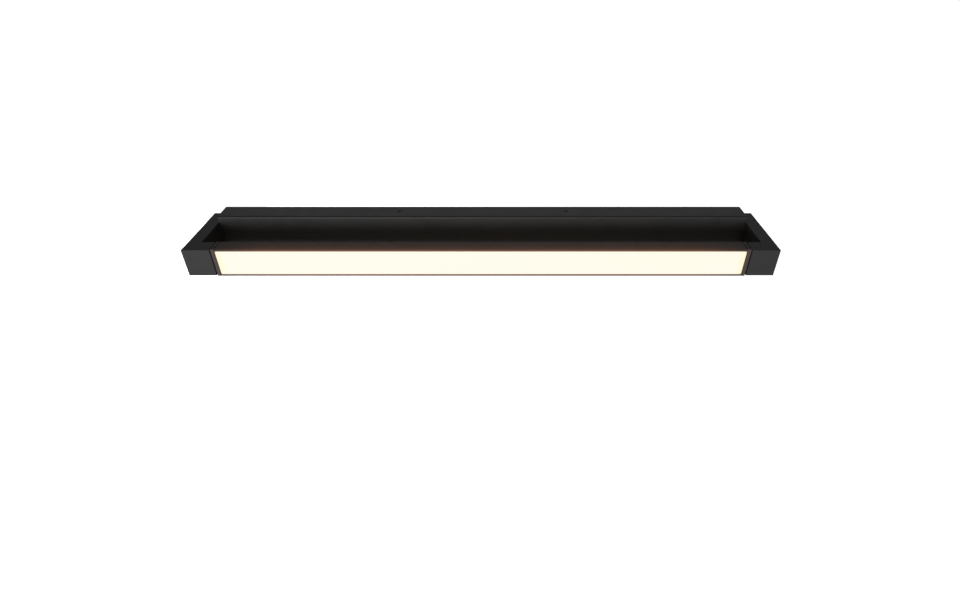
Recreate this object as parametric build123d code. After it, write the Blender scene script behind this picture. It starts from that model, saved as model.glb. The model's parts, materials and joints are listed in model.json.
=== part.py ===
from build123d import *
from math import radians, tan
import os

# Vanity light bar, in millimetres. The wall is the plane Y = 0 and the room lies towards -Y.
# X runs along the bar and Z is up. The origin is the middle of the bracket's slots.

# Overall sizes
LENGTH = 610.0
PROJECTION = 87.5
ARM_HEIGHT = 30.2
ARM_WIDTH = 14.05
RETURN_WIDTH = 28.8
BAR_DEPTH = 17.2
BAR_HEIGHT = 31.2
CAP_HEIGHT = 31.4
SWIVEL_GAP = 1.0
CANOPY_HEIGHT = 43.8
CANOPY_DEPTH = 25.2
WALL_GAP = 2.1

# Wall thicknesses and edges
SHEET = 1.5
BEND_RADIUS = 2.0
WELD_FIT = 0.05
ARM_WALL = 2.0
RETURN_WALL = 1.8
PIVOT_WALL = 3.0
PLUG_DEPTH = 3.0
EDGE = 0.4

# Light bar
CAP_THICKNESS = 3.4
GASKET_THICKNESS = 0.8
BAR_WALL = 1.95
BAR_BACK = 2.0
GROOVE_DEPTH = 0.5
PORT_RADIUS = 2.6
PORT_HEIGHT = 11.3
LENS_THICKNESS = 2.0
LENS_HEIGHT = 27.1
LENS_RECESS = 0.1
LENS_CORNER = 1.5
LENS_END_GAP = 0.2
BOARD_HALF_LENGTH = 262.0
BOARD_HEIGHT = 17.0
BOARD_THICKNESS = 1.6
TAPE_THICKNESS = 0.3
LED_COUNT = 61
LED_PITCH = 8.5
LED_SIZE = (2.8, 0.8, 3.5)
CONNECTOR_X = (-250.0, -244.0)
CONNECTOR_Z = (-8.2, -3.2)
CONNECTOR_DEPTH = 3.6

# Swivel
PIVOT_RADIUS = 4.0
PIVOT_BORE = 2.3
PIVOT_TIP = 286.5
BUSH_RADIUS = 4.8
BUSH_FLANGE_RADIUS = 5.6
RUNNING_CLEARANCE = 0.05
STOP_ORBIT = 6.8
STOP_RADIUS = 0.75
SWING = 90.0
NUT_ACROSS_FLATS = 11.0
NUT_THICKNESS = 3.5
ACCESS_RADIUS = 6.6
ACCESS_CAP_RADIUS = 7.2

# Screws: thread radius of each size, and how much wider a hole is that a screw passes through
M3 = 1.5
M4 = 2.0
PASS = 0.1

# Canopy and wall bracket
BRACKET_HALF_LENGTH = 140.0
BRACKET_DEPTH = 17.0
FLANGE_GAP = 0.25
FLANGE_ROOT = 5.0
TAB_HALF_WIDTH = 16.0
WIRE_HOLE_RADIUS = 8.0
SLOT_X = 39.7
SLOT_LENGTH = 14.0
SLOT_WIDTH = 4.5
ANCHOR_X = 128.0
ANCHOR_RADIUS = 2.5
CANOPY_SCREW_X = 93.0
CANOPY_SCREW_Y = -12.0
SINK_RADIUS = 2.9
SINK_DEPTH = 1.2
SCREW_HEAD_RADIUS = 2.45
SCREW_HEAD_DROP = 0.35
SCREW_LENGTH = 8.0
CLINCH_NUT_RADIUS = 2.9
CLINCH_NUT_HEIGHT = 2.4
GROUND_X = -109.0
LUG_THICKNESS = 0.8
JOINT_Y = -14.0
JOINT_SCREW_Z = 9.2
PLATE_THICKNESS = 3.0
CABLE_HOLE_RADIUS = 4.0

# Cables
CABLE_RADIUS = 1.5
LEAD_RADIUS = 1.0
ARM_CABLE_X = -300.4
CABLE_SPLIT_X = -280.0
SPLIT_GAP = 0.1

# Driver and terminal block
DRIVER_X = (-262.0, -140.0)
DRIVER_Y = (-22.7, -4.2)
DRIVER_HALF_HEIGHT = 14.0
DRIVER_WALL = 1.5
DRIVER_BOARD_Y = (-8.6, -7.0)
TRANSFORMER_X = -204.0
CAPACITORS = (((-188.0, -170.0), 5.0), ((-238.0, -224.0), 4.0))
TERMINAL_X = (-84.0, -64.0)
TERMINAL_Y = (-15.0, -1.5)
POLE_PITCH = 8.0
POLE_Y = -7.5

# Places worked out from the sizes above
END = LENGTH / 2
ARM_INNER = END - ARM_WIDTH
RETURN_INNER = END - RETURN_WIDTH
CAP_OUTER = RETURN_INNER - SWIVEL_GAP
CAP_INNER = CAP_OUTER - CAP_THICKNESS
HOUSING_END = CAP_INNER - GASKET_THICKNESS
FRONT = -PROJECTION
BAR_REAR = FRONT + BAR_DEPTH
AXIS_Y = FRONT + BAR_DEPTH / 2
BAR_BED = BAR_REAR - BAR_BACK
BOARD_BACK = BAR_BED - TAPE_THICKNESS
BOARD_FRONT = BOARD_BACK - BOARD_THICKNESS
ARM_REAR = -WALL_GAP - PLUG_DEPTH
CANOPY_TOP = CANOPY_HEIGHT / 2
BRACKET_HALF_HEIGHT = CANOPY_TOP - SHEET - FLANGE_GAP
TERMINAL_MIDDLE = sum(TERMINAL_X) / 2
LID_Y = DRIVER_Y[1] - DRIVER_WALL
PORT_Y = BAR_BED - 1.3
CAVITY_FRONT = FRONT + RETURN_WALL
CAVITY_REAR = BAR_REAR - RETURN_WALL
ARM_CAVITY_X = (ARM_INNER + ARM_WALL, END - ARM_WALL)
PIVOT_WALL_X = (RETURN_INNER, RETURN_INNER + PIVOT_WALL)
NUT_PLATE_X = (ARM_CAVITY_X[0], ARM_CAVITY_X[0] + PLATE_THICKNESS)


def block(x, y, z):
    """Box between two limits on each axis, each given as a pair."""
    centre = Pos(sum(x) / 2, sum(y) / 2, sum(z) / 2)
    return centre * Box(x[1] - x[0], y[1] - y[0], z[1] - z[0])


def rod_x(radius, x, y, z):
    """Cylinder along X between two limits."""
    return Pos(sum(x) / 2, y, z) * Rot(0, 90, 0) * Cylinder(radius, x[1] - x[0])


def rod_y(radius, x, y, z):
    """Cylinder along Y between two limits."""
    return Pos(x, sum(y) / 2, z) * Rot(90, 0, 0) * Cylinder(radius, y[1] - y[0])


def rod_z(radius, x, y, z):
    """Cylinder along Z between two limits."""
    return Pos(x, y, sum(z) / 2) * Cylinder(radius, z[1] - z[0])


def axle(radius, x):
    """Cylinder on the swivel axis."""
    return rod_x(radius, x, AXIS_Y, 0)


def along_x(section, x):
    """Section drawn in Y and Z, pushed along X between two limits."""
    return extrude(Plane.YZ.offset(x[0]) * section, x[1] - x[0])


def mirror_x(shape):
    return mirror(shape, Plane.YZ)


def mirror_z(shape):
    return mirror(shape, Plane.XY)


def both_ends(shape):
    """A shape at the right end and its mirror image at the left end."""
    return [shape, mirror_x(shape)]


def save(name, *solids):
    """Write one node, made of one or more separate solids."""
    shape = solids[0] if len(solids) == 1 else Compound(children=list(solids))
    export_step(shape, os.path.join("parts", name + ".step"))


# Canopy and wall bracket


def canopy_cover():
    """Folded sheet channel, open at the wall, with a countersunk hole for each canopy screw."""
    shell = block((-ARM_INNER, ARM_INNER), (-CANOPY_DEPTH, 0), (-CANOPY_TOP, CANOPY_TOP))
    front_edges = shell.edges().filter_by(Axis.X).group_by(Axis.Y)[0]
    shell = fillet(front_edges, BEND_RADIUS)
    inside_z = CANOPY_TOP - SHEET
    room = block((-ARM_INNER - 1, ARM_INNER + 1), (SHEET - CANOPY_DEPTH, 0), (-inside_z, inside_z))
    room_edges = room.edges().filter_by(Axis.X).group_by(Axis.Y)[0]
    shell -= fillet(room_edges, BEND_RADIUS - SHEET)
    hole_radius = M3 + 2 * PASS
    sink = Pos(0, 0, CANOPY_TOP - SINK_DEPTH / 2) * Cone(hole_radius, SINK_RADIUS, SINK_DEPTH)
    hole = rod_z(hole_radius, 0, 0, (inside_z - 1, CANOPY_TOP))
    for x in (-CANOPY_SCREW_X, CANOPY_SCREW_X):
        cutter = Pos(x, CANOPY_SCREW_Y, 0) * (sink + hole)
        shell -= cutter
        shell -= mirror_z(cutter)
    return shell


def right_canopy_end():
    """Plate welded into the cover's right end, with a hole for each of the arm's screws."""
    x = (ARM_INNER - SHEET, ARM_INNER)
    half_height = CANOPY_TOP - SHEET - WELD_FIT
    plate = block(x, (SHEET + WELD_FIT - CANOPY_DEPTH, 0), (-half_height, half_height))
    plate = fillet(plate.edges().filter_by(Axis.X).group_by(Axis.Y)[0], BEND_RADIUS - SHEET)
    for z in (-JOINT_SCREW_Z, JOINT_SCREW_Z):
        plate -= rod_x(M4 + PASS, x, JOINT_Y, z)
    return plate


def left_canopy_end():
    """Mirror image of the right end's plate, with a hole for the cable as well."""
    hole = rod_x(CABLE_HOLE_RADIUS, (-ARM_INNER, SHEET - ARM_INNER), JOINT_Y, 0)
    return mirror_x(right_canopy_end()) - hole


def canopy_screw():
    """M3 countersunk socket screw for the canopy's top face, its head a little below the sheet."""
    head_top = CANOPY_TOP - SCREW_HEAD_DROP
    head_depth = SCREW_HEAD_RADIUS - M3
    head = Pos(0, 0, head_top - head_depth / 2) * Cone(M3, SCREW_HEAD_RADIUS, head_depth)
    screw = head + rod_z(M3, 0, 0, (head_top - SCREW_LENGTH, head_top - head_depth))
    socket = Pos(0, 0, head_top - 0.5) * extrude(RegularPolygon(1.0, 6, major_radius=False), 1.0)
    return Pos(0, CANOPY_SCREW_Y, 0) * (screw - socket)


def four_corners(shape):
    """A shape at the canopy screws' four places, above and below."""
    above = [Pos(x, 0, 0) * shape for x in (-CANOPY_SCREW_X, CANOPY_SCREW_X)]
    return above + [mirror_z(one) for one in above]


def clinch_nut():
    """Pressed nut under the bracket's flange, which the canopy screw runs into."""
    inner_face = BRACKET_HALF_HEIGHT - SHEET
    body = rod_z(CLINCH_NUT_RADIUS, 0, CANOPY_SCREW_Y, (inner_face - CLINCH_NUT_HEIGHT, inner_face))
    return body - rod_z(M3, 0, CANOPY_SCREW_Y, (inner_face - CLINCH_NUT_HEIGHT - 1, inner_face + 1))


def wall_bracket():
    """Steel channel against the wall, with slots, a wire hole and a flange above and below."""
    length = (-BRACKET_HALF_LENGTH, BRACKET_HALF_LENGTH)
    height = (-BRACKET_HALF_HEIGHT, BRACKET_HALF_HEIGHT)
    channel = block(length, (-BRACKET_DEPTH, 0), height)
    channel = fillet(channel.edges().filter_by(Axis.X).group_by(Axis.Y)[-1], BEND_RADIUS)
    inside = (SHEET - BRACKET_HALF_HEIGHT, BRACKET_HALF_HEIGHT - SHEET)
    room = block(length, (-BRACKET_DEPTH - 1, -SHEET), inside)
    channel -= fillet(room.edges().filter_by(Axis.X).group_by(Axis.Y)[-1], BEND_RADIUS - SHEET)
    channel -= flange_relief()
    channel -= rod_y(WIRE_HOLE_RADIUS, 0, (-SHEET - 1, 1), 0)
    slot = extrude(Plane.XZ.offset(-1) * SlotOverall(SLOT_LENGTH, SLOT_WIDTH), SHEET + 2)
    for x in (-SLOT_X, SLOT_X):
        channel -= Pos(x, 0, 0) * slot
    for x in (-ANCHOR_X, ANCHOR_X):
        channel -= rod_y(ANCHOR_RADIUS, x, (-SHEET - 1, 1), 0)
    channel -= rod_y(M4, GROUND_X, (-SHEET - 1, 1), 0)
    channel -= rod_y(M3, TERMINAL_MIDDLE, (-SHEET - 1, 1), POLE_PITCH / 2)
    for x in (-CANOPY_SCREW_X, CANOPY_SCREW_X):
        channel -= rod_z(M3, x, CANOPY_SCREW_Y, (-CANOPY_TOP, CANOPY_TOP))
    return channel


def flange_relief():
    """The flanges stand only near the canopy screws: elsewhere the sheet is cut away."""
    beyond = BRACKET_HALF_LENGTH + 1
    outer = CANOPY_SCREW_X + TAB_HALF_WIDTH
    inner = CANOPY_SCREW_X - TAB_HALF_WIDTH
    spans = [(-beyond, -outer), (-inner, inner), (outer, beyond)]
    reach = BRACKET_HALF_HEIGHT + 1
    relief_y = (-BRACKET_DEPTH - 1, -FLANGE_ROOT)
    return [block(span, relief_y, (-reach, reach)) for span in spans]


def ground_screw():
    """Pan-head M4 screw that clamps the earth lug to the bracket."""
    seat = -SHEET - LUG_THICKNESS
    top = seat - 2.6
    head = rod_y(3.6, GROUND_X, (top, seat), 0)
    head = fillet(head.edges().group_by(Axis.Y)[0], 1.0)
    slot = block((GROUND_X - 4, GROUND_X + 4), (top - 1, top + 1), (-0.5, 0.5))
    return head - slot + rod_y(M4, GROUND_X, (seat, -0.1), 0)


def ground_lug():
    """Ring lug with a barrel crimped round the earth lead."""
    plate_y = (-SHEET - LUG_THICKNESS, -SHEET)
    barrel_x = (GROUND_X + 5.5, GROUND_X + 10.0)
    barrel_y = plate_y[0] - LEAD_RADIUS - 0.2
    plate = rod_y(3.8, GROUND_X, plate_y, 0)
    plate += block((GROUND_X, barrel_x[1]), plate_y, (-1.6, 1.6))
    barrel = rod_x(LEAD_RADIUS + 0.5, barrel_x, barrel_y, 0)
    lug = plate + barrel - rod_x(LEAD_RADIUS, (barrel_x[0] - 1, barrel_x[1] + 1), barrel_y, 0)
    return lug - rod_y(M4 + PASS, GROUND_X, (plate_y[0] - 2, 0), 0)


# Terminal block


def pole_heights():
    """Height of each of the block's three poles."""
    return (-POLE_PITCH, 0.0, POLE_PITCH)


def terminal_block():
    """Three-pole block: a wire way along each pole and a screw well over each end of it."""
    half = 1.5 * POLE_PITCH
    body = block(TERMINAL_X, TERMINAL_Y, (-half, half))
    front_edges = body.edges().filter_by(Axis.X).group_by(Axis.Y)[0]
    body = fillet(front_edges, 1.0)
    for z in pole_heights():
        body -= rod_x(2.4, (TERMINAL_X[0] - 1, TERMINAL_X[1] + 1), POLE_Y, z)
        for x in clamp_places():
            body -= rod_y(2.2, x, (TERMINAL_Y[0] - 1, POLE_Y), z)
    for z in (-POLE_PITCH / 2, POLE_PITCH / 2):
        notch_y = (TERMINAL_Y[0] - 1, TERMINAL_Y[0] + 2.5)
        body -= block((TERMINAL_X[0] - 1, TERMINAL_X[1] + 1), notch_y, (z - 0.7, z + 0.7))
    return body - rod_y(M3 + PASS, TERMINAL_MIDDLE, (TERMINAL_Y[0] - 1, 0), POLE_PITCH / 2)


def clamp_places():
    """Where along the block its clamp screws stand."""
    return (TERMINAL_X[0] + 5.0, TERMINAL_X[1] - 5.0)


def terminal_sleeve(z):
    """Brass sleeve that joins the wires of one pole."""
    ends = (TERMINAL_X[0] + 2, TERMINAL_X[1] - 2)
    sleeve = rod_x(2.4, ends, POLE_Y, z) - rod_x(1.4, (ends[0] - 1, ends[1] + 1), POLE_Y, z)
    for x in clamp_places():
        sleeve -= rod_y(1.25, x, (TERMINAL_Y[0], POLE_Y), z)
    return sleeve


def clamp_screw(x, z):
    """Slotted screw that presses a wire down inside its sleeve."""
    tip = POLE_Y - 1.0
    head_y = (tip - 4.3, tip - 2.6)
    screw = rod_y(1.25, x, (head_y[1], tip), z) + rod_y(1.9, x, head_y, z)
    return screw - block((x - 2.2, x + 2.2), (head_y[0] - 1, head_y[0] + 0.8), (z - 0.3, z + 0.3))


def terminal_mount_screw():
    """Pan-head M3 screw through the block into the bracket."""
    x = TERMINAL_MIDDLE
    z = POLE_PITCH / 2
    head_y = (TERMINAL_Y[0] - 2.0, TERMINAL_Y[0])
    head = fillet(rod_y(2.7, x, head_y, z).edges().group_by(Axis.Y)[0], 0.7)
    slot = block((x - 3, x + 3), (head_y[0] - 1, head_y[0] + 1), (z - 0.4, z + 0.4))
    return head - slot + rod_y(M3, x, (TERMINAL_Y[0], -0.1), z)


# Driver


def driver_case():
    """Tray of the driver, open at the back, with an exit hole for each lead."""
    outer_z = (-DRIVER_HALF_HEIGHT, DRIVER_HALF_HEIGHT)
    tray = block(DRIVER_X, (DRIVER_Y[0], LID_Y), outer_z)
    tray = fillet(tray.edges().filter_by(Axis.Y), 2.0)
    inner_x = (DRIVER_X[0] + DRIVER_WALL, DRIVER_X[1] - DRIVER_WALL)
    inner_z = (outer_z[0] + DRIVER_WALL, outer_z[1] - DRIVER_WALL)
    tray -= block(inner_x, (DRIVER_Y[0] + DRIVER_WALL, LID_Y), inner_z)
    tray -= rod_x(CABLE_RADIUS, (DRIVER_X[0] - 1, inner_x[0] + 1), JOINT_Y, 0)
    for z in (-POLE_PITCH, POLE_PITCH):
        tray -= rod_x(LEAD_RADIUS, (inner_x[1] - 1, DRIVER_X[1] + 1), JOINT_Y, z)
    return tray


def driver_lid():
    """Snap-in lid on the driver's wall side, with a rim that sits inside the tray."""
    outer_z = (-DRIVER_HALF_HEIGHT, DRIVER_HALF_HEIGHT)
    plate = block(DRIVER_X, (LID_Y, DRIVER_Y[1]), outer_z)
    plate = fillet(plate.edges().filter_by(Axis.Y), 2.0)
    margin = DRIVER_WALL + 0.1
    rim_x = (DRIVER_X[0] + margin, DRIVER_X[1] - margin)
    rim_y = (LID_Y - 1.2, LID_Y)
    rim_z = (outer_z[0] + margin, outer_z[1] - margin)
    hollow = block((rim_x[0] + 1, rim_x[1] - 1), rim_y, (rim_z[0] + 1, rim_z[1] - 1))
    return plate + (block(rim_x, rim_y, rim_z) - hollow)


def driver_tape():
    """Foam tape that holds the driver to the inside of the canopy's front."""
    inner_face = SHEET - CANOPY_DEPTH
    return block((DRIVER_X[0] + 8, DRIVER_X[1] - 8), (inner_face, DRIVER_Y[0]), (-10, 10))


def driver_board():
    """The driver's circuit board."""
    return block((DRIVER_X[0] + 4, DRIVER_X[1] - 4), DRIVER_BOARD_Y, (-11.5, 11.5))


def driver_transformer():
    """Core, bobbin flanges and winding as one moulded part standing on the board."""
    foot = DRIVER_BOARD_Y[0]
    x = TRANSFORMER_X
    core = block((x - 8, x + 8), (foot - 12, foot), (-8, 8))
    core -= block((x - 5, x + 5), (foot - 9.5, foot - 2.5), (-9, 9))
    winding = block((x - 4.5, x + 4.5), (foot - 9.3, foot - 2.7), (-7.5, 7.5))
    winding = fillet(winding.edges().filter_by(Axis.Z), 2.0)
    middle_leg = block((x - 2, x + 2), (foot - 10, foot - 2), (-8, 8))
    return core + winding + middle_leg


def driver_capacitors():
    """Two electrolytic capacitors lying on the board."""
    foot = DRIVER_BOARD_Y[0]
    cans = []
    for x, radius in CAPACITORS:
        can = rod_x(radius, x, foot - radius, 0)
        cans.append(fillet(can.edges().filter_by(GeomType.CIRCLE), 0.6))
    return cans


def driver_connectors():
    """Block that each set of leads is fixed to, at the two ends of the board."""
    foot = DRIVER_BOARD_Y[0]
    output = block((DRIVER_X[0] + 5, DRIVER_X[0] + 11), (JOINT_Y - 3, foot), (-4, 4))
    supply = block((DRIVER_X[1] - 11, DRIVER_X[1] - 5), (JOINT_Y - 3, foot), (-11, 11))
    return [output, supply]


# Leads and cables


def cable(points, radius):
    """Round cable on straight runs joined by tangent arcs, each as large as its runs allow."""
    points = [Vector(*point) for point in points]
    runs = [(b - a).length for a, b in zip(points, points[1:])]
    radii = []
    for i in range(1, len(points) - 1):
        turn = (points[i] - points[i - 1]).get_angle(points[i + 1] - points[i])
        radii.append(0.45 * min(runs[i - 1], runs[i]) / tan(radians(turn) / 2))
    path = FilletPolyline(*points, radius=radii)
    return sweep(Plane(path @ 0, z_dir=path % 0) * Circle(radius), path)


def arm_cable():
    """From the driver, through the canopy's end and the left arm, to the middle of the swivel."""
    return cable(
        [
            (DRIVER_X[0] + 5, JOINT_Y, 0),
            (ARM_CABLE_X + 5.9, JOINT_Y, 0),
            (ARM_CABLE_X, JOINT_Y - 5.9, 0),
            (ARM_CABLE_X, AXIS_Y + 9.0, 0),
            (ARM_CABLE_X + 9.0, AXIS_Y, 0),
            (CABLE_SPLIT_X - SPLIT_GAP / 2, AXIS_Y, 0),
        ],
        CABLE_RADIUS,
    )


def bar_cable():
    """From the middle of the swivel, out of the hollow pivot, to the board's connector."""
    plug_y = BOARD_FRONT - CONNECTOR_DEPTH / 2
    plug_z = sum(CONNECTOR_Z) / 2 + 0.1
    return cable(
        [
            (CABLE_SPLIT_X + SPLIT_GAP / 2, AXIS_Y, 0),
            (CABLE_SPLIT_X + 15.0, AXIS_Y, 0),
            (CONNECTOR_X[0] - 8.6, plug_y, plug_z),
            (CONNECTOR_X[0], plug_y, plug_z),
        ],
        CABLE_RADIUS,
    )


def supply_lead(side):
    """Live or neutral lead, from the driver to its pole of the terminal block."""
    z = side * POLE_PITCH
    return cable(
        [
            (DRIVER_X[1] - 5, JOINT_Y, z),
            (DRIVER_X[1] + 14, JOINT_Y, z),
            (TERMINAL_X[0] - 22, POLE_Y, z),
            (TERMINAL_X[0] + 4, POLE_Y, z),
        ],
        LEAD_RADIUS,
    )


def earth_lead():
    """Earth lead, from the lug to the middle pole."""
    lug_y = -SHEET - LUG_THICKNESS - LEAD_RADIUS - 0.2
    return cable(
        [
            (GROUND_X + 6, lug_y, 0),
            (GROUND_X + 12.5, lug_y, 0),
            (TERMINAL_X[0] - 5, POLE_Y, 0),
            (TERMINAL_X[0] + 4, POLE_Y, 0),
        ],
        LEAD_RADIUS,
    )


# Arms


def right_arm():
    """Hollow L: a leg back to the wall and a short return that carries the swivel."""
    high = (-ARM_HEIGHT / 2, ARM_HEIGHT / 2)
    leg = block((ARM_INNER, END), (FRONT, ARM_REAR), high)
    turn = block((RETURN_INNER, END), (FRONT, BAR_REAR), high)
    arm = leg + turn
    arm = fillet(arm.edges(), EDGE)
    inside = (ARM_WALL - ARM_HEIGHT / 2, ARM_HEIGHT / 2 - ARM_WALL)
    arm -= block(ARM_CAVITY_X, (CAVITY_FRONT, ARM_REAR + 1), inside)
    arm -= block((PIVOT_WALL_X[1], ARM_CAVITY_X[1]), (CAVITY_FRONT, CAVITY_REAR), inside)
    arm -= axle(BUSH_RADIUS, (RETURN_INNER - 1, PIVOT_WALL_X[1] + 1))
    arm -= axle(ACCESS_RADIUS, (ARM_CAVITY_X[1] - 1, END + 1))
    arm -= axle(ACCESS_CAP_RADIUS + 0.05, (END - 1.0, END + 1))
    arm -= rod_x(STOP_RADIUS, (RETURN_INNER - 1, PIVOT_WALL_X[1]), AXIS_Y, STOP_ORBIT)
    for z in (-JOINT_SCREW_Z, JOINT_SCREW_Z):
        arm -= rod_x(M4 + PASS, (ARM_INNER - 1, ARM_CAVITY_X[0] + 1), JOINT_Y, z)
    return arm


def left_arm():
    """The right arm's mirror image, with one more hole for the cable."""
    hole = rod_x(CABLE_HOLE_RADIUS, (-ARM_CAVITY_X[0] - 1, 1 - ARM_INNER), JOINT_Y, 0)
    return mirror_x(right_arm()) - hole


def arm_plug():
    """Plastic plug that closes an arm's rear end."""
    flange = block((ARM_INNER, END), (ARM_REAR, -WALL_GAP), (-ARM_HEIGHT / 2, ARM_HEIGHT / 2))
    flange = fillet(flange.edges(), EDGE)
    gap = 0.1
    skirt_x = (ARM_CAVITY_X[0] + gap, ARM_CAVITY_X[1] - gap)
    skirt_top = ARM_HEIGHT / 2 - ARM_WALL - gap
    skirt_y = (ARM_REAR - 3.0, ARM_REAR)
    skirt = block(skirt_x, skirt_y, (-skirt_top, skirt_top))
    hollow = block((skirt_x[0] + 1.2, skirt_x[1] - 1.2), skirt_y, (1.2 - skirt_top, skirt_top - 1.2))
    return flange + (skirt - hollow)


def nut_plate():
    """Tapped steel plate inside an arm, which the arm screws run into."""
    plate = block(NUT_PLATE_X, (JOINT_Y - 5.5, JOINT_Y + 5.5), (-12.7, 12.7))
    plate = fillet(plate.edges().filter_by(Axis.X), 1.0)
    reach = (NUT_PLATE_X[0] - 1, NUT_PLATE_X[1] + 1)
    plate -= rod_x(CABLE_HOLE_RADIUS + 0.5, reach, JOINT_Y, 0)
    for z in (-JOINT_SCREW_Z, JOINT_SCREW_Z):
        plate -= rod_x(M4, reach, JOINT_Y, z)
    return plate


def arm_screw(z):
    """Pan-head M4 screw, from inside the canopy's end into the nut plate."""
    seat = ARM_INNER - SHEET
    head = rod_x(3.7, (seat - 2.6, seat), JOINT_Y, z)
    head = fillet(head.edges().group_by(Axis.X)[0], 1.0)
    hexagon = RegularPolygon(1.25, 6, major_radius=False)
    socket = Pos(0, JOINT_Y, z) * along_x(hexagon, (seat - 2.7, seat - 1.2))
    return head - socket + rod_x(M4, (seat, NUT_PLATE_X[1] + 0.5), JOINT_Y, z)


def grommet():
    """Rubber grommet for the cable, through the canopy's end wall and the arm's wall."""
    flange_x = (SHEET - ARM_INNER, SHEET - ARM_INNER + 1.2)
    ring = rod_x(5.2, flange_x, JOINT_Y, 0)
    ring = fillet(ring.edges().group_by(Axis.X)[-1], 0.5)
    ring += rod_x(CABLE_HOLE_RADIUS, (-ARM_CAVITY_X[0] - 0.3, flange_x[0]), JOINT_Y, 0)
    mouth = Pos(-ARM_CAVITY_X[0] + 1.2, JOINT_Y, 0) * Rot(0, -90, 0) * Cone(2.1, 3.4, 3.0)
    return ring - rod_x(2.1, (-ARM_CAVITY_X[0] - 1, flange_x[1] + 1), JOINT_Y, 0) - mouth


# Swivel


def pivot_bush():
    """Flanged bush in the return's inner wall. Its flange also spaces the light bar."""
    flange = axle(BUSH_FLANGE_RADIUS, (CAP_OUTER + 0.1, RETURN_INNER))
    sleeve = axle(BUSH_RADIUS, PIVOT_WALL_X)
    bore = axle(PIVOT_RADIUS + RUNNING_CLEARANCE, (CAP_OUTER, PIVOT_WALL_X[1] + 1))
    return flange + sleeve - bore


def pivot(bore):
    """Threaded pivot fixed in the end cap, hollow on the side that the cable runs through."""
    root = CAP_INNER - NUT_THICKNESS - 0.5
    pin = axle(PIVOT_RADIUS, (root, PIVOT_TIP))
    pin = chamfer(pin.edges().filter_by(GeomType.CIRCLE), 0.4)
    return pin - axle(bore, (root - 1, PIVOT_TIP + 1)) if bore else pin


def hex_nut(x):
    """Hexagon nut on the swivel axis between two limits."""
    section = Pos(AXIS_Y, 0) * RegularPolygon(NUT_ACROSS_FLATS / 2, 6, major_radius=False)
    nut = along_x(section, x)
    return nut - axle(PIVOT_RADIUS, (x[0] - 1, x[1] + 1))


def lock_nut():
    """Nut inside the light bar that locks the pivot to the end cap."""
    return hex_nut((CAP_INNER - NUT_THICKNESS, CAP_INNER))


def friction_washer():
    """Plastic washer between the bush's wall and the disc spring."""
    washer = axle(6.3, (PIVOT_WALL_X[1], PIVOT_WALL_X[1] + 0.8))
    return washer - axle(PIVOT_RADIUS + 0.1, (PIVOT_WALL_X[1] - 1, PIVOT_WALL_X[1] + 2))


def disc_spring():
    """Coned spring washer that sets the swivel's friction."""
    start = PIVOT_WALL_X[1] + 0.85
    inner = PIVOT_RADIUS + 0.1
    outer = 6.1
    cone = 0.4
    thickness = 0.6
    ring = Polyline(
        (start + cone, inner),
        (start + cone + thickness, inner),
        (start + thickness, outer),
        (start, outer),
        close=True,
    )
    return Pos(0, AXIS_Y, 0) * revolve(Plane.XZ * make_face(ring), Axis.X)


def adjusting_nut():
    """Nut inside the arm that presses the spring and washer against the bush's wall."""
    start = PIVOT_WALL_X[1] + 1.9
    return hex_nut((start, start + NUT_THICKNESS))


def stop_pin():
    """Pin fixed in the arm that rides in the end cap's groove and ends the swing."""
    return rod_x(STOP_RADIUS, (CAP_OUTER - 1.8, PIVOT_WALL_X[1]), AXIS_Y, STOP_ORBIT)


def access_cap():
    """Flush cap over the hole through which the adjusting nut is reached."""
    face = axle(ACCESS_CAP_RADIUS, (END - 1.0, END))
    face = fillet(face.edges().filter_by(GeomType.CIRCLE).group_by(Axis.X)[-1], 0.3)
    skirt = axle(ACCESS_RADIUS - 0.05, (END - 2.8, END - 1.0))
    return face + skirt - axle(ACCESS_RADIUS - 1.2, (END - 2.8, END - 1.0))


# Light bar


def bar_housing():
    """Extruded channel: the lens snaps into its front and the board lies on its floor."""
    outer = Pos(AXIS_Y, 0) * RectangleRounded(BAR_DEPTH, BAR_HEIGHT, EDGE)
    inside_height = BAR_HEIGHT - 2 * BAR_WALL
    room_depth = BAR_DEPTH - BAR_BACK
    room = Pos(FRONT + room_depth / 2 - 0.5, 0) * Rectangle(room_depth + 1, inside_height)
    groove = Pos(FRONT + 3.5, 0) * Rectangle(1.4, inside_height + 2 * GROOVE_DEPTH)
    section = outer - room - groove
    for z in (-PORT_HEIGHT, PORT_HEIGHT):
        section += (Pos(PORT_Y, z) * Circle(PORT_RADIUS)) & outer
    for z in (-PORT_HEIGHT, PORT_HEIGHT):
        section -= Pos(PORT_Y, z) * Circle(M3)
    return along_x(section, (-HOUSING_END, HOUSING_END))


def end_cap():
    """Cap that carries the pivot, with the stop groove cut in its outer face."""
    section = Pos(AXIS_Y, 0) * RectangleRounded(BAR_DEPTH, CAP_HEIGHT, EDGE)
    cap = along_x(section, (CAP_INNER, CAP_OUTER))
    cap = fillet(cap.faces().sort_by(Axis.X)[-1].edges(), 0.3)
    cap -= axle(PIVOT_RADIUS, (CAP_INNER - 1, CAP_OUTER + 1))
    arc = CenterArc((AXIS_Y, 0), STOP_ORBIT, 90 - SWING - 0.3, 2 * SWING + 0.6)
    groove = SlotArc(arc, 2 * (STOP_RADIUS + RUNNING_CLEARANCE))
    cap -= along_x(groove, (CAP_OUTER - 2.0, CAP_OUTER + 1))
    for z in (-PORT_HEIGHT, PORT_HEIGHT):
        cap -= rod_x(M3 + PASS, (CAP_INNER - 1, CAP_OUTER + 1), PORT_Y, z)
        cap -= Pos(CAP_OUTER - 0.8, PORT_Y, z) * Rot(0, 90, 0) * Cone(M3, M3 + 1.6, 1.6)
    return cap


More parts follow.
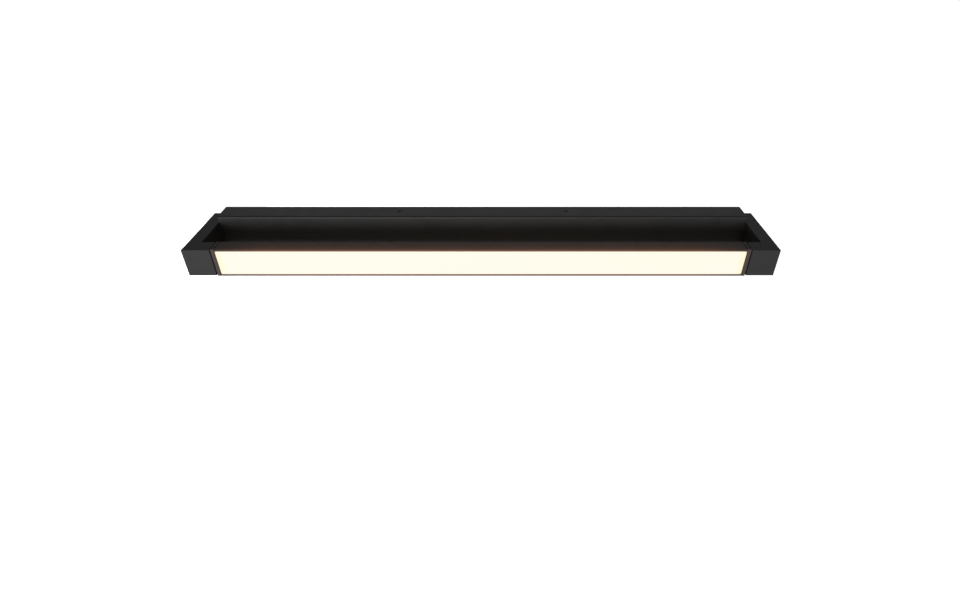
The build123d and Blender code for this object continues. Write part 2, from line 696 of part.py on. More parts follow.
def cap_screw(z):
    """Countersunk M3 screw through the end cap into the housing's port."""
    top = CAP_OUTER - 0.2
    head = Pos(top - 0.7, PORT_Y, z) * Rot(0, 90, 0) * Cone(M3, M3 + 1.4, 1.4)
    hexagon = Pos(PORT_Y, z) * RegularPolygon(1.0, 6, major_radius=False)
    socket = along_x(hexagon, (top - 1.1, top + 1))
    return head + rod_x(M3, (top - 12.0, top - 1.4), PORT_Y, z) - socket


def end_gasket():
    """Silicone gasket between the housing's end and its cap."""
    outer = Pos(AXIS_Y, 0) * RectangleRounded(BAR_DEPTH - 0.3, BAR_HEIGHT - 0.3, EDGE)
    inner = Pos(AXIS_Y, 0) * RectangleRounded(BAR_DEPTH - 4.0, BAR_HEIGHT - 6.1, EDGE)
    section = outer - inner
    for z in (-PORT_HEIGHT, PORT_HEIGHT):
        section -= Pos(PORT_Y, z) * Circle(M3 + PASS)
    return along_x(section, (HOUSING_END, CAP_INNER))


def diffuser_lens():
    """Opal plate with two clip legs that snap into the housing's grooves."""
    front = FRONT + LENS_RECESS
    back = front + LENS_THICKNESS
    half = LENS_HEIGHT / 2
    end = HOUSING_END - LENS_END_GAP
    section = Pos((front + back) / 2, 0) * RectangleRounded(LENS_THICKNESS, LENS_HEIGHT, 0.3)
    outline = extrude(RectangleRounded(2 * end, LENS_HEIGHT, LENS_CORNER), LENS_THICKNESS, both=True)
    plate = along_x(section, (-end, end)) & (Pos(0, front, 0) * Rot(90, 0, 0) * outline)
    legs = []
    for side in (-1, 1):
        leg_z = sorted((side * (half - 1.1), side * half))
        legs.append(Pos(back + 1.2, sum(leg_z) / 2) * Rectangle(2.8, leg_z[1] - leg_z[0]))
        legs.append(Pos(FRONT + 3.5, side * (half + 0.1)) * Rectangle(1.0, 0.8))
    return plate + along_x(Sketch() + legs, (LENS_CORNER - end, end - LENS_CORNER))


def reflector_strip():
    """White strip that slants from the board's edge towards the lens, with a foot on the port."""
    foot = PORT_Y - PORT_RADIUS - 0.05
    outline = Polyline(
        (foot, 8.7),
        (foot - 6.0, 11.8),
        (foot - 6.0, 12.35),
        (foot - 0.6, 9.55),
        (foot - 0.6, 13.0),
        (foot, 13.0),
        close=True,
    )
    return along_x(make_face(outline), (-BOARD_HALF_LENGTH, BOARD_HALF_LENGTH))


def led_board():
    """Board that carries the row of LEDs."""
    half = BOARD_HEIGHT / 2
    return block((-BOARD_HALF_LENGTH, BOARD_HALF_LENGTH), (BOARD_FRONT, BOARD_BACK), (-half, half))


def thermal_tape():
    """Tape that holds the board to the housing's floor and takes its heat away."""
    half = BOARD_HEIGHT / 2 - 1.0
    return block((-BOARD_HALF_LENGTH, BOARD_HALF_LENGTH), (BOARD_BACK, BAR_BED), (-half, half))


def led_packages():
    """Row of surface-mounted LEDs along the middle of the board."""
    width, depth, height = LED_SIZE
    first = -LED_PITCH * (LED_COUNT - 1) / 2
    package = block((-width / 2, width / 2), (BOARD_FRONT - depth, BOARD_FRONT), (-height / 2, height / 2))
    return [Pos(first + LED_PITCH * i, 0, 0) * package for i in range(LED_COUNT)]


def board_connector():
    """Small connector on the board that the bar's cable ends in."""
    body = block(CONNECTOR_X, (BOARD_FRONT - CONNECTOR_DEPTH, BOARD_FRONT), CONNECTOR_Z)
    return chamfer(body.edges().group_by(Axis.Y)[0], 0.3)


os.makedirs("parts", exist_ok=True)

save("canopy_cover", canopy_cover())
save("right_canopy_end", right_canopy_end())
save("left_canopy_end", left_canopy_end())
save("canopy_screws", *four_corners(canopy_screw()))
save("clinch_nuts", *four_corners(clinch_nut()))
save("wall_bracket", wall_bracket())
save("ground_screw", ground_screw())
save("ground_lug", ground_lug())
save("terminal_block", terminal_block())
save("terminal_sleeves", *[terminal_sleeve(z) for z in pole_heights()])
save("terminal_clamp_screws", *[clamp_screw(x, z) for z in pole_heights() for x in clamp_places()])
save("terminal_mount_screw", terminal_mount_screw())
save("driver_case", driver_case())
save("driver_lid", driver_lid())
save("driver_tape", driver_tape())
save("driver_board", driver_board())
save("driver_transformer", driver_transformer())
save("driver_capacitors", *driver_capacitors())
save("driver_connectors", *driver_connectors())
save("arm_cable", arm_cable())
save("bar_cable", bar_cable())
save("live_lead", supply_lead(1))
save("neutral_lead", supply_lead(-1))
save("earth_lead", earth_lead())
save("right_arm", right_arm())
save("left_arm", left_arm())
save("right_arm_plug", arm_plug())
save("left_arm_plug", mirror_x(arm_plug()))
save("arm_nut_plates", *both_ends(nut_plate()))
save("arm_screws", *[one for z in (-JOINT_SCREW_Z, JOINT_SCREW_Z) for one in both_ends(arm_screw(z))])
save("cable_grommet", grommet())
save("right_pivot_bush", pivot_bush())
save("left_pivot_bush", mirror_x(pivot_bush()))
save("right_pivot_stud", pivot(0))
save("left_pivot_nipple", mirror_x(pivot(PIVOT_BORE)))
save("pivot_lock_nuts", *both_ends(lock_nut()))
save("pivot_friction_washers", *both_ends(friction_washer()))
save("pivot_disc_springs", *both_ends(disc_spring()))
save("pivot_adjusting_nuts", *both_ends(adjusting_nut()))
save("swivel_stop_pins", *both_ends(stop_pin()))
save("right_access_cap", access_cap())
save("left_access_cap", mirror_x(access_cap()))
save("bar_housing", bar_housing())
save("right_end_cap", end_cap())
save("left_end_cap", mirror_x(end_cap()))
save("end_cap_screws", *[one for z in (-PORT_HEIGHT, PORT_HEIGHT) for one in both_ends(cap_screw(z))])
save("right_end_gasket", end_gasket())
save("left_end_gasket", mirror_x(end_gasket()))
save("diffuser_lens", diffuser_lens())
save("reflector_strips", reflector_strip(), mirror_z(reflector_strip()))
save("led_board", led_board())
save("led_packages", *led_packages())
save("thermal_tape", thermal_tape())
save("board_connector", board_connector())
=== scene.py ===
import json
from math import cos, pi, radians, sin

import bmesh
import bpy
from mathutils import Matrix, Vector


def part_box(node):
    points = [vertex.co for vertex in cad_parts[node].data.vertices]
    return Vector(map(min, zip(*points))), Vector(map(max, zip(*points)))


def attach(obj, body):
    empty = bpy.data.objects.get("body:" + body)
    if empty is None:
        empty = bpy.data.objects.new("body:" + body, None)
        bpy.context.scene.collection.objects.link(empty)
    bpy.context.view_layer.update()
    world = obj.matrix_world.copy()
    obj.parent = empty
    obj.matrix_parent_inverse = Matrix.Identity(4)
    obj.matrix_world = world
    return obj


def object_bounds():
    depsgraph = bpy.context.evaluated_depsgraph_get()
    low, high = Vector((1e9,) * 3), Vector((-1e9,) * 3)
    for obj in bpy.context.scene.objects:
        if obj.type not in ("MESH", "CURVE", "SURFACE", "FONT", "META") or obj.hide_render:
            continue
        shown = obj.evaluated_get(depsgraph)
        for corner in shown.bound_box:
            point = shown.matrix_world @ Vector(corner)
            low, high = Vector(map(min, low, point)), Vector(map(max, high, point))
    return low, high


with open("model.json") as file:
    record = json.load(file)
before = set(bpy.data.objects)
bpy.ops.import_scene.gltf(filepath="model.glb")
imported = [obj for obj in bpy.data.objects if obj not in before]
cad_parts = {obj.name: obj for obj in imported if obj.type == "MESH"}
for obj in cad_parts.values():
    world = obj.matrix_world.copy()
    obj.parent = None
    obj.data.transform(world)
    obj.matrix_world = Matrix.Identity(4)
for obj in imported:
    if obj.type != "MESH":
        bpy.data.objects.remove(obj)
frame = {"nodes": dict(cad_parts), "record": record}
cad_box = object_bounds()
nodes_of_frame = frame["nodes"]

MM = 0.001
CABLE_RADIUS = 1.5 * MM
WHITE = (1.0, 1.0, 1.0)


# Camera, floor and lights


def make_camera():
    """Wide lens, in front of the bar and above it, looking down at it."""
    pitch = radians(34.647)
    forward = Vector((0.0, cos(pitch), -sin(pitch)))
    right = Vector((1.0, 0.0, 0.0))
    up = right.cross(forward)
    data = bpy.data.cameras.new("camera")
    data.sensor_width = 36.0
    data.lens = 21.52
    data.shift_x = -0.0213
    data.clip_start = 0.01
    camera = bpy.data.objects.new("camera", data)
    turn = Matrix((right, up, -forward)).transposed().to_4x4()
    camera.matrix_world = Matrix.Translation((0.0200, -0.5954, 0.3048)) @ turn
    bpy.context.scene.collection.objects.link(camera)
    bpy.context.scene.camera = camera


def make_floor():
    """Large pale floor well below the light. Only the camera sees it, so it throws no light up."""
    half = 20.0
    drop = 0.9
    height = cad_box[0].z - drop
    corners = [(x * half, y * half, height) for x, y in ((-1, -1), (1, -1), (1, 1), (-1, 1))]
    mesh = bpy.data.meshes.new("floor")
    mesh.from_pydata(corners, [], [(0, 1, 2, 3)])
    floor = bpy.data.objects.new("floor", mesh)
    bpy.context.scene.collection.objects.link(floor)
    paper = Surface("floor_white", (0.9, 0.9, 0.9), 0.9)
    paper.set("Emission Color", (*WHITE, 1.0))
    paper.set("Emission Strength", 1.0)
    mesh.materials.append(paper.material)
    floor.visible_diffuse = False
    floor.visible_glossy = False
    floor.visible_transmission = False


def make_area_light(name, place, size, power, colour=WHITE):
    """Softbox that faces the light bar."""
    data = bpy.data.lights.new(name, "AREA")
    data.shape = "RECTANGLE"
    data.size, data.size_y = size
    data.energy = power
    data.color = colour
    light = bpy.data.objects.new(name, data)
    light.location = place
    light.rotation_mode = "QUATERNION"
    light.rotation_quaternion = (-Vector(place)).to_track_quat("-Z", "Y")
    bpy.context.scene.collection.objects.link(light)


def make_studio():
    """White room: it looks white behind the object, and gives only a little light of its own."""
    world = bpy.data.worlds.new("studio")
    world.use_nodes = True
    nodes, links = world.node_tree.nodes, world.node_tree.links
    ambient = nodes["Background"]
    ambient.inputs["Color"].default_value = (*WHITE, 1.0)
    ambient.inputs["Strength"].default_value = 0.09
    seen = nodes.new("ShaderNodeBackground")
    seen.inputs["Color"].default_value = (*WHITE, 1.0)
    choice = nodes.new("ShaderNodeMixShader")
    links.new(nodes.new("ShaderNodeLightPath").outputs["Is Camera Ray"], choice.inputs["Fac"])
    links.new(ambient.outputs["Background"], choice.inputs[1])
    links.new(seen.outputs["Background"], choice.inputs[2])
    links.new(choice.outputs["Shader"], nodes["World Output"].inputs["Surface"])
    bpy.context.scene.world = world


def make_lights():
    """Two softboxes level with the bar in front, two behind it, and a weak warm one below."""
    make_studio()
    make_area_light("key_front", (-0.7, -2.4, 0.06), (2.0, 1.1), 45.5)
    make_area_light("fill_front", (1.2, -2.3, -0.02), (1.2, 0.8), 11.2)
    make_area_light("back_top", (0.0, 1.8, 1.3), (3.0, 1.6), 5.4)
    make_area_light("back_low", (-1.4, 1.9, -0.5), (1.8, 1.2), 14.0)
    make_area_light("bounce_below", (0.0, -0.4, -0.8), (1.2, 0.6), 1.7, (1.0, 0.78, 0.58))
    bpy.context.scene.view_settings.view_transform = "Standard"


# Materials


def shade(colour, factor):
    return tuple(channel * factor for channel in colour)


class Surface:
    """One procedural material. Its coordinates are the object's own, in metres."""

    def __init__(self, name, colour, roughness, metallic=0.0):
        self.material = bpy.data.materials.new(name)
        self.material.use_nodes = True
        self.nodes = self.material.node_tree.nodes
        self.links = self.material.node_tree.links
        self.shader = self.nodes["Principled BSDF"]
        self.point = self.nodes.new("ShaderNodeTexCoord").outputs["Object"]
        self.base = colour
        self.gloss = roughness
        self.normal = None
        self.set("Base Color", (*colour, 1.0))
        self.set("Roughness", roughness)
        self.set("Metallic", metallic)

    def set(self, socket, value):
        self.shader.inputs[socket].default_value = value

    def feed(self, value, socket):
        self.links.new(value, self.shader.inputs[socket])

    def stretched(self, factors):
        """The object's point, stretched by a factor on each axis."""
        node = self.nodes.new("ShaderNodeMapping")
        node.inputs["Scale"].default_value = factors
        self.links.new(self.point, node.inputs["Vector"])
        return node.outputs["Vector"]

    def noise(self, scale, detail=2.0, roughness=0.5, point=None):
        node = self.nodes.new("ShaderNodeTexNoise")
        node.inputs["Scale"].default_value = scale
        node.inputs["Detail"].default_value = detail
        node.inputs["Roughness"].default_value = roughness
        self.links.new(point or self.point, node.inputs["Vector"])
        return node.outputs["Fac"]

    def cells(self, scale, output="Distance"):
        node = self.nodes.new("ShaderNodeTexVoronoi")
        node.inputs["Scale"].default_value = scale
        self.links.new(self.point, node.inputs["Vector"])
        return node.outputs[output]

    def axis(self, name, point=None):
        node = self.nodes.new("ShaderNodeSeparateXYZ")
        self.links.new(point or self.point, node.inputs["Vector"])
        return node.outputs[name]

    def math(self, operation, first, second=None):
        node = self.nodes.new("ShaderNodeMath")
        node.operation = operation
        for socket, value in zip(node.inputs, (first, second)):
            if isinstance(value, (int, float)):
                socket.default_value = value
            elif value is not None:
                self.links.new(value, socket)
        return node.outputs["Value"]

    def remap(self, value, low, high, to_low=0.0, to_high=1.0, smooth=False):
        node = self.nodes.new("ShaderNodeMapRange")
        node.interpolation_type = "SMOOTHSTEP" if smooth else "LINEAR"
        limits = {"From Min": low, "From Max": high, "To Min": to_low, "To Max": to_high}
        for socket, number in limits.items():
            node.inputs[socket].default_value = number
        self.links.new(value, node.inputs["Value"])
        return node.outputs["Result"]

    def mix(self, factor, first, second):
        """Blend of two colours, each given as three numbers or as another node's output."""
        # The node's inputs 6 and 7 are its two colours, and its output 2 is the blended one.
        node = self.nodes.new("ShaderNodeMix")
        node.data_type = "RGBA"
        self.links.new(factor, node.inputs["Factor"])
        for index, colour in ((6, first), (7, second)):
            if isinstance(colour, tuple):
                node.inputs[index].default_value = (*colour, 1.0)
            else:
                self.links.new(colour, node.inputs[index])
        return node.outputs[2]

    def cloud(self, scale, colour_change, gloss_change):
        """Slow uneven change of colour and gloss."""
        field = self.noise(scale, 3.0)
        low, high = shade(self.base, 1.0 - colour_change), shade(self.base, 1.0 + colour_change)
        self.feed(self.mix(self.remap(field, 0.3, 0.7), low, high), "Base Color")
        gloss = self.remap(field, 0.3, 0.7, self.gloss - gloss_change, self.gloss + gloss_change)
        self.feed(gloss, "Roughness")

    def bump(self, height, distance, strength):
        node = self.nodes.new("ShaderNodeBump")
        node.inputs["Strength"].default_value = strength
        node.inputs["Distance"].default_value = distance
        self.links.new(height, node.inputs["Height"])
        if self.normal is not None:
            self.links.new(self.normal, node.inputs["Normal"])
        self.normal = node.outputs["Normal"]
        self.feed(self.normal, "Normal")


def powder_coat(name, roughness=0.54):
    """Matte black powder coat: a fine pebbled skin over a faint orange peel."""
    coat = Surface(name, (0.0195, 0.0195, 0.0198), roughness)
    coat.cloud(55.0, 0.08, 0.03)
    coat.bump(coat.noise(2300.0, 2.0, 0.6), 0.05 * MM, 0.30)
    coat.bump(coat.noise(330.0, 1.0), 0.22 * MM, 0.10)
    return coat


def paint_gap_shade(coat, dark, plain):
    """Painted shade: darken the coat at one distance from the bar's middle, fading to the plain coat at
    another.
    """
    across = coat.math("ABSOLUTE", coat.axis("X"))
    colour = coat.shader.inputs["Base Color"].links[0].from_socket
    # Painted shade: the base colour falls to 12 percent on the faces inside the gap.
    outside_painted_shade = coat.remap(across, dark, plain)
    coat.feed(coat.mix(outside_painted_shade, shade(coat.base, 0.12), colour), "Base Color")
    coat.feed(coat.remap(outside_painted_shade, 0.0, 1.0, 0.95, coat.gloss), "Roughness")


def arm_coat(name):
    """The coat on the arms, with painted shade on the faces inside the swivel's gap."""
    coat = powder_coat(name)
    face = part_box("right_arm")[0].x
    paint_gap_shade(coat, face + 0.10 * MM, face + 0.28 * MM)
    return coat


def beyond(coat, axis, limit):
    """How far a point lies outside a limit on each side of the middle."""
    past = coat.math("SUBTRACT", coat.math("ABSOLUTE", coat.axis(axis)), limit)
    return coat.math("MAXIMUM", past, 0.0)


def behind_front(surface, node):
    """How far a point lies behind the front of a CAD node."""
    past = surface.math("SUBTRACT", surface.axis("Y"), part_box(node)[0].y)
    return surface.math("MAXIMUM", past, 0.0)


def fade(coat, distance, reach, strength):
    """Strength that falls off with distance, to about a third at the reach."""
    power = coat.math("MULTIPLY", distance, -1.0 / reach)
    return coat.math("MULTIPLY", coat.math("EXPONENT", power), strength)


def housing_coat(name):
    """The coat on the housing, with a painted warm glow on the metal beside the lens, where the lens's
    light would spill.
    """
    coat = powder_coat(name)
    low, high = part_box("bar_housing")
    depth = high.y - low.y
    behind = behind_front(coat, "bar_housing")
    away = coat.math("ADD", beyond(coat, "Z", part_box("diffuser_lens")[1].z), behind)
    # Painted light: orange emission near the lens's rim and over the top stands in for the lens's glare
    # on the metal.
    near_rim = fade(coat, away, 1.2 * MM, 0.10)
    over_top = fade(coat, away, 8.0 * MM, 0.068)
    along = coat.math("ABSOLUTE", coat.axis("X"))
    to_ends = coat.remap(along, high.x - 56.0 * MM, high.x + 12.0 * MM, 1.0, 0.15, smooth=True)
    to_rear = coat.remap(behind, depth - 2.9 * MM, depth - 0.1 * MM, 1.0, 0.0, smooth=True)
    painted_glow = coat.math("MULTIPLY", coat.math("ADD", near_rim, over_top), to_ends)
    painted_glow = coat.math("MULTIPLY", painted_glow, to_rear)
    coat.set("Emission Color", (1.0, 0.33, 0.10, 1.0))
    coat.feed(painted_glow, "Emission Strength")
    return coat


def cap_coat(name):
    """The coat on the end caps: a painted glow in front, where they stand beside the lens, and painted
    shade in the swivel's gap.
    """
    coat = powder_coat(name)
    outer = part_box("right_end_cap")[1].x
    # Painted shade on the cap's outer faces inside the swivel's gap.
    paint_gap_shade(coat, outer - 0.10 * MM, outer - 0.28 * MM)
    across = coat.math("ABSOLUTE", coat.axis("X"))
    off_gap = coat.remap(across, outer - 0.25 * MM, outer - 0.10 * MM, 1.0, 0.0)
    behind = behind_front(coat, "right_end_cap")
    # Painted light: red to grey emission on the cap's front stands in for the lens's glare.
    painted_glow = coat.math("ADD", fade(coat, behind, 0.7 * MM, 0.028), fade(coat, behind, 7.0 * MM, 0.004))
    from_lens = coat.remap(beyond(coat, "X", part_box("diffuser_lens")[1].x), 1.0 * MM, 2.2 * MM)
    red, grey = (2.2, 0.45, 0.22), (0.9, 0.74, 0.72)
    coat.feed(coat.mix(from_lens, red, grey), "Emission Color")
    coat.feed(coat.math("MULTIPLY", painted_glow, off_gap), "Emission Strength")
    return coat


def moulded(name, colour, roughness, grain=1400.0, depth=0.04 * MM):
    """Moulded plastic with the fine spark-eroded skin of its tool."""
    plastic = Surface(name, colour, roughness)
    plastic.cloud(40.0, 0.05, 0.03)
    plastic.bump(plastic.cells(grain), depth, 0.25)
    plastic.bump(plastic.noise(180.0, 1.0), 0.2 * MM, 0.06)
    return plastic


def translucent(name, colour, roughness, grain=1400.0):
    """Moulded plastic that light sinks into a little, as nylon and acetal do."""
    plastic = moulded(name, colour, roughness, grain)
    plastic.set("Subsurface Weight", 0.15)
    plastic.set("Subsurface Radius", (2.0 * MM, 1.6 * MM, 1.2 * MM))
    plastic.set("Subsurface Scale", 0.5)
    return plastic


def rubber(name, colour, shine=0.5):
    """Matte rubber. A low shine suits a gasket that stands back between two edges."""
    soft = Surface(name, colour, 0.68)
    soft.set("Specular IOR Level", shine)
    soft.cloud(150.0, 0.15, 0.05)
    soft.bump(soft.noise(900.0, 3.0), 0.06 * MM, 0.25)
    soft.set("Sheen Weight", 0.08)
    return soft


def seam_rubber(name):
    """The gasket between housing and cap: almost black, with a painted red glow beside the lens."""
    soft = rubber(name, (0.003, 0.003, 0.003), 0.1)
    # Painted light: red emission on the gasket's front stands in for the lens's glare.
    soft.set("Emission Color", (1.0, 0.33, 0.22, 1.0))
    soft.feed(fade(soft, behind_front(soft, "right_end_gasket"), 0.4 * MM, 0.10), "Emission Strength")
    return soft


def galvanised(name):
    """Zinc-coated sheet: flat crystals of slightly different grey, with rolling lines under them."""
    sheet = Surface(name, (0.60, 0.62, 0.65), 0.36, 1.0)
    crystals = sheet.axis("X", sheet.cells(210.0, "Color"))
    lines = sheet.noise(300.0, 3.0, 0.6, sheet.stretched((0.04, 6.0, 6.0)))
    dull = sheet.mix(crystals, (0.50, 0.52, 0.55), (0.64, 0.66, 0.69))
    worn = sheet.mix(sheet.remap(sheet.noise(25.0, 4.0), 0.45, 0.75), dull, (0.55, 0.56, 0.57))
    sheet.feed(worn, "Base Color")
    sheet.feed(sheet.remap(crystals, 0.0, 1.0, 0.30, 0.46), "Roughness")
    sheet.bump(lines, 0.02 * MM, 0.25)
    return sheet


def turned_metal(name, colour, roughness, tarnish=0.12):
    """Plated or bright small hardware: tool lines round it and a slight uneven tarnish."""
    metal = Surface(name, colour, roughness, 1.0)
    metal.cloud(420.0, tarnish, 0.06)
    metal.bump(metal.noise(2600.0, 2.0, 0.5, metal.stretched((1.0, 0.15, 0.15))), 0.02 * MM, 0.3)
    metal.bump(metal.noise(700.0, 2.0), 0.03 * MM, 0.12)
    return metal


def spring_steel(name):
    """Hardened steel with the straw and blue tint of its heat treatment."""
    metal = Surface(name, (0.36, 0.35, 0.35), 0.3, 1.0)
    straw, blue = (0.42, 0.36, 0.27), (0.26, 0.29, 0.38)
    heat = metal.remap(metal.noise(260.0, 2.0), 0.35, 0.65)
    metal.feed(metal.mix(heat, straw, blue), "Base Color")
    metal.bump(metal.noise(2400.0), 0.02 * MM, 0.3)
    return metal


def cable_jacket(name, colour):
    """Extruded PVC: smooth, with faint drag lines along it."""
    jacket = Surface(name, colour, 0.42)
    jacket.cloud(160.0, 0.05, 0.04)
    jacket.bump(jacket.noise(900.0, 2.0, 0.5, jacket.stretched((0.12, 1.0, 1.0))), 0.03 * MM, 0.25)
    return jacket


def earth_jacket(name):
    """Green jacket with a yellow stripe above and below."""
    green, yellow = (0.03, 0.26, 0.035), (0.78, 0.62, 0.03)
    jacket = cable_jacket(name, green)
    height = jacket.math("ABSOLUTE", jacket.axis("Z"))
    stripe = jacket.remap(height, 0.50 * MM, 0.62 * MM)
    jacket.feed(jacket.mix(stripe, green, yellow), "Base Color")
    return jacket


def foam(name):
    """Grey acrylic foam with open cells along its cut edges."""
    tape = Surface(name, (0.33, 0.33, 0.34), 0.8)
    pores = tape.cells(1100.0)
    hollow, wall = (0.16, 0.16, 0.17), (0.40, 0.40, 0.41)
    tape.feed(tape.mix(tape.remap(pores, 0.0, 0.5), hollow, wall), "Base Color")
    tape.bump(pores, 0.25 * MM, 0.5)
    return tape


def solder_mask(name, colour, trace):
    """Varnished board: copper shows through as slightly lighter, raised tracks."""
    board = Surface(name, colour, 0.34)
    bricks = board.nodes.new("ShaderNodeTexBrick")
    board.links.new(board.point, bricks.inputs["Vector"])
    layout = {"Scale": 170.0, "Mortar Size": 0.035, "Brick Width": 1.4, "Row Height": 0.55}
    for socket, number in layout.items():
        bricks.inputs[socket].default_value = number
    patch = board.remap(board.noise(90.0, 2.0), 0.48, 0.52)
    drawn = board.math("MULTIPLY", bricks.outputs["Fac"], patch)
    board.feed(board.mix(drawn, colour, trace), "Base Color")
    board.bump(drawn, 0.04 * MM, 0.4)
    board.bump(board.noise(1200.0), 0.02 * MM, 0.12)
    return board


def transformer_skin(name):
    """Dark ferrite core with yellow tape round its winding."""
    black, yellow = (0.035, 0.034, 0.036), (0.72, 0.47, 0.05)
    ferrite = Surface(name, black, 0.5)
    low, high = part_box("driver_transformer")
    middle = (low.x + high.x) / 2
    half_width, half_height = 4.7 * MM, 7.6 * MM
    across = ferrite.math("ABSOLUTE", ferrite.math("SUBTRACT", ferrite.axis("X"), middle))
    upright = ferrite.math("ABSOLUTE", ferrite.axis("Z"))
    within_width = ferrite.math("LESS_THAN", across, half_width)
    within_height = ferrite.math("LESS_THAN", upright, half_height)
    tape = ferrite.math("MULTIPLY", within_width, within_height)
    ferrite.feed(ferrite.mix(tape, black, yellow), "Base Color")
    ferrite.bump(ferrite.noise(1500.0, 3.0), 0.05 * MM, 0.3)
    return ferrite


def capacitor_skin(name):
    """Dark shrink sleeve with a paler stripe along it."""
    dark, pale = (0.018, 0.02, 0.034), (0.42, 0.43, 0.45)
    can = Surface(name, dark, 0.3)
    stripe = can.remap(can.axis("Z"), 2.0 * MM, 2.1 * MM)
    can.feed(can.mix(stripe, dark, pale), "Base Color")
    can.bump(can.noise(500.0, 2.0), 0.06 * MM, 0.15)
    return can


def board_white(name):
    """White solder mask of the LED board, a little darker where the copper ends."""
    white, bare = (0.84, 0.84, 0.82), (0.70, 0.69, 0.64)
    board = Surface(name, white, 0.4)
    edge = board.remap(board.math("ABSOLUTE", board.axis("Z")), 8.0 * MM, 8.3 * MM)
    board.feed(board.mix(edge, white, bare), "Base Color")
    board.bump(board.noise(1400.0), 0.02 * MM, 0.15)
    return board


def opal_lens(name):
    """Opal acrylic, lit from behind: even over its face, slightly warmer towards its ends and edges."""
    lens = Surface(name, (0.10, 0.10, 0.09), 0.38)
    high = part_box("diffuser_lens")[1]
    end = lens.remap(lens.math("ABSOLUTE", lens.axis("X")), high.x - 9.0 * MM, high.x, smooth=True)
    edge = lens.remap(lens.math("ABSOLUTE", lens.axis("Z")), high.z - 4.0 * MM, high.z, smooth=True)
    middle, end_glow, edge_glow = (0.905, 0.865, 0.745), (0.895, 0.855, 0.60), (0.90, 0.86, 0.71)
    face = lens.mix(edge, middle, edge_glow)
    lens.feed(lens.mix(end, face, end_glow), "Emission Color")
    lens.set("Emission Strength", 1.0)
    lens.bump(lens.noise(700.0, 2.0), 0.03 * MM, 0.10)
    return lens


def reflector_film(name):
    """Matte white reflector film."""
    film = Surface(name, (0.88, 0.88, 0.87), 0.55)
    film.cloud(70.0, 0.02, 0.03)
    film.bump(film.noise(1800.0), 0.02 * MM, 0.2)
    return film


def make_materials():
    """Material of each slot of the record, and of the nodes that need one of their own."""
    by_slot = {
        "black_coated_steel": powder_coat("black_coated_steel"),
        "black_coated_aluminium": powder_coat("black_coated_aluminium"),
        "black_screw": turned_metal("black_screw", (0.045, 0.045, 0.047), 0.36, tarnish=0.2),
        "black_plastic": moulded("black_plastic", (0.016, 0.016, 0.0165), 0.52),
        "black_rubber": rubber("black_rubber", (0.012, 0.012, 0.0125)),
        "zinc_steel": turned_metal("zinc_steel", (0.62, 0.64, 0.67), 0.30),
        "spring_steel": spring_steel("spring_steel"),
        "green_screw": turned_metal("green_screw", (0.05, 0.30, 0.10), 0.34, tarnish=0.25),
        "tinned_copper": turned_metal("tinned_copper", (0.76, 0.74, 0.70), 0.32),
        "brass_contact": turned_metal("brass_contact", (0.78, 0.58, 0.24), 0.28),
        "terminal_plastic": translucent("terminal_plastic", (0.80, 0.78, 0.72), 0.42),
        "driver_plastic": moulded("driver_plastic", (0.76, 0.76, 0.75), 0.46, 1100.0, 0.06 * MM),
        "driver_parts": moulded("driver_parts", (0.05, 0.05, 0.06), 0.4),
        "green_board": solder_mask("green_board", (0.012, 0.115, 0.035), (0.03, 0.20, 0.06)),
        "foam_tape": foam("foam_tape"),
        "bush_plastic": translucent("bush_plastic", (0.80, 0.79, 0.74), 0.40, 1900.0),
        "white_cable": cable_jacket("white_cable", (0.80, 0.80, 0.79)),
        "brown_lead": cable_jacket("brown_lead", (0.13, 0.05, 0.022)),
        "blue_lead": cable_jacket("blue_lead", (0.03, 0.13, 0.45)),
        "green_yellow_lead": earth_jacket("green_yellow_lead"),
        "opal_diffuser": opal_lens("opal_diffuser"),
        "white_reflector": reflector_film("white_reflector"),
        "white_board": board_white("white_board"),
        "led_yellow": translucent("led_yellow", (0.85, 0.62, 0.12), 0.35),
    }
    arm = arm_coat("black_coat_arm")
    cap = cap_coat("black_coat_cap")
    gasket = seam_rubber("gasket_silicone")
    by_node = {
        "canopy_cover": powder_coat("black_coat_canopy", 0.48),
        "wall_bracket": galvanised("galvanised_sheet"),
        "driver_transformer": transformer_skin("ferrite_and_tape"),
        "driver_capacitors": capacitor_skin("capacitor_sleeve"),
        "left_arm": arm,
        "right_arm": arm,
        "bar_housing": housing_coat("black_coat_housing"),
        "left_end_gasket": gasket,
        "right_end_gasket": gasket,
        "left_end_cap": cap,
        "right_end_cap": cap,
    }
    return by_slot, by_node


def dress_nodes(by_slot, by_node):
    """Give every CAD node its material."""
    for part in frame["record"]["subparts"]:
        name = part["node"]
        surface = by_node.get(name, by_slot[part["material_slot"]])
        for slot in nodes_of_frame[name].material_slots:
            slot.material = surface.material


# Small moulded details


def new_piece(name, shape, surface):
    """Turn a bmesh into a piece that stays with the wall frame."""
    mesh = bpy.data.meshes.new(name)
    bmesh.ops.recalc_face_normals(shape, faces=shape.faces)
    shape.to_mesh(mesh)
    shape.free()
    mesh.materials.append(surface.material)
    piece = bpy.data.objects.new(name, mesh)
    bpy.context.scene.collection.objects.link(piece)
    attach(piece, "wall_frame")


def raised_bar(shape, x, z, foot, rise):
    """Ridge with sloping sides that stands on a face turned to the wall."""
    draft = 0.25 * MM
    root = 0.05 * MM
    corners = ((0, 0), (1, 0), (1, 1), (0, 1))
    low = [shape.verts.new((x[i], foot - root, z[j])) for i, j in corners]
    high = []
    for i, j in corners:
        top_x = x[i] + (draft, -draft)[i]
        top_z = z[j] + (draft, -draft)[j]
        high.append(shape.verts.new((top_x, foot + rise, top_z)))
    shape.faces.new(low)
    shape.faces.new(high)
    for i in range(4):
        j = (i + 1) % 4
        shape.faces.new((low[i], low[j], high[j], high[i]))


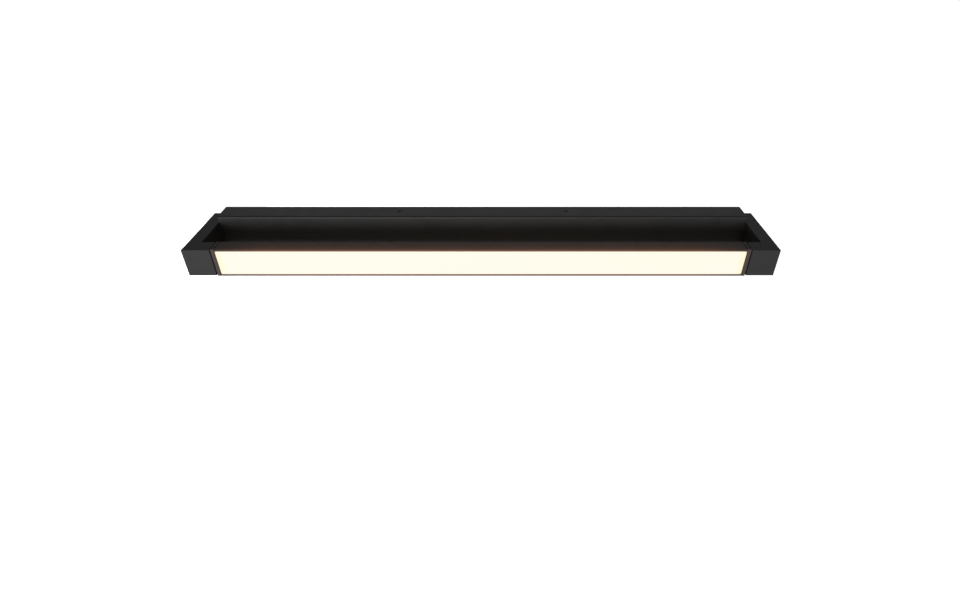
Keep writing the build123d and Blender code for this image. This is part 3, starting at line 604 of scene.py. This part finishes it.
def add_lid_ribs(surface):
    """Two long ribs and nine cross ribs moulded on the driver's lid."""
    shape = bmesh.new()
    low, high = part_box("driver_lid")
    inset, width, rise = 2.5 * MM, 1.2 * MM, 0.5 * MM
    left, right = low.x + inset, high.x - inset
    bottom, top = low.z + inset, high.z - inset
    raised_bar(shape, (left, right), (bottom, bottom + width), high.y, rise)
    raised_bar(shape, (left, right), (top - width, top), high.y, rise)
    count = 9
    pitch = (right - left - width) / (count - 1)
    for i in range(count):
        side = left + pitch * i
        raised_bar(shape, (side, side + width), (bottom + width, top - width), high.y, rise)
    new_piece("driver_lid_ribs", shape, surface)


def add_strain_relief(surface):
    """Ribbed sleeve that guards the cable where it leaves the driver."""
    shape = bmesh.new()
    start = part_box("driver_case")[0].x + 0.3 * MM
    axis_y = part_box("arm_cable")[1].y - CABLE_RADIUS
    rib_count, rib_pitch, rib_depth, taper = 4, 1.5, 0.45, 0.18
    # The outline gives distance from the driver and radius, in millimetres: a flange, then the ribs.
    outline = [(0.0, 3.2), (0.9, 3.2), (1.1, 2.9)]
    for i in range(rib_count):
        place = rib_pitch * (i + 1)
        crest = 2.7 - taper * i
        root = crest - rib_depth
        outline += [(place, root), (place + 0.45, root), (place + 0.6, crest), (place + 1.2, crest)]
    outline += [(7.7, 1.75), (7.7, 1.52)]
    steps = 32
    rings = []
    for distance, radius in outline:
        ring = []
        for k in range(steps):
            angle = 2 * pi * k / steps
            y = axis_y + radius * MM * cos(angle)
            z = radius * MM * sin(angle)
            ring.append(shape.verts.new((start - distance * MM, y, z)))
        rings.append(ring)
    for near, far in zip(rings, rings[1:]):
        for k in range(steps):
            j = (k + 1) % steps
            shape.faces.new((near[k], near[j], far[j], far[k]))
    shape.faces.new(rings[0])
    shape.faces.new(rings[-1])
    new_piece("driver_strain_relief", shape, surface)


make_camera()
make_lights()
make_floor()
slot_surfaces, node_surfaces = make_materials()
dress_nodes(slot_surfaces, node_surfaces)
add_lid_ribs(slot_surfaces["driver_plastic"])
add_strain_relief(slot_surfaces["black_rubber"])
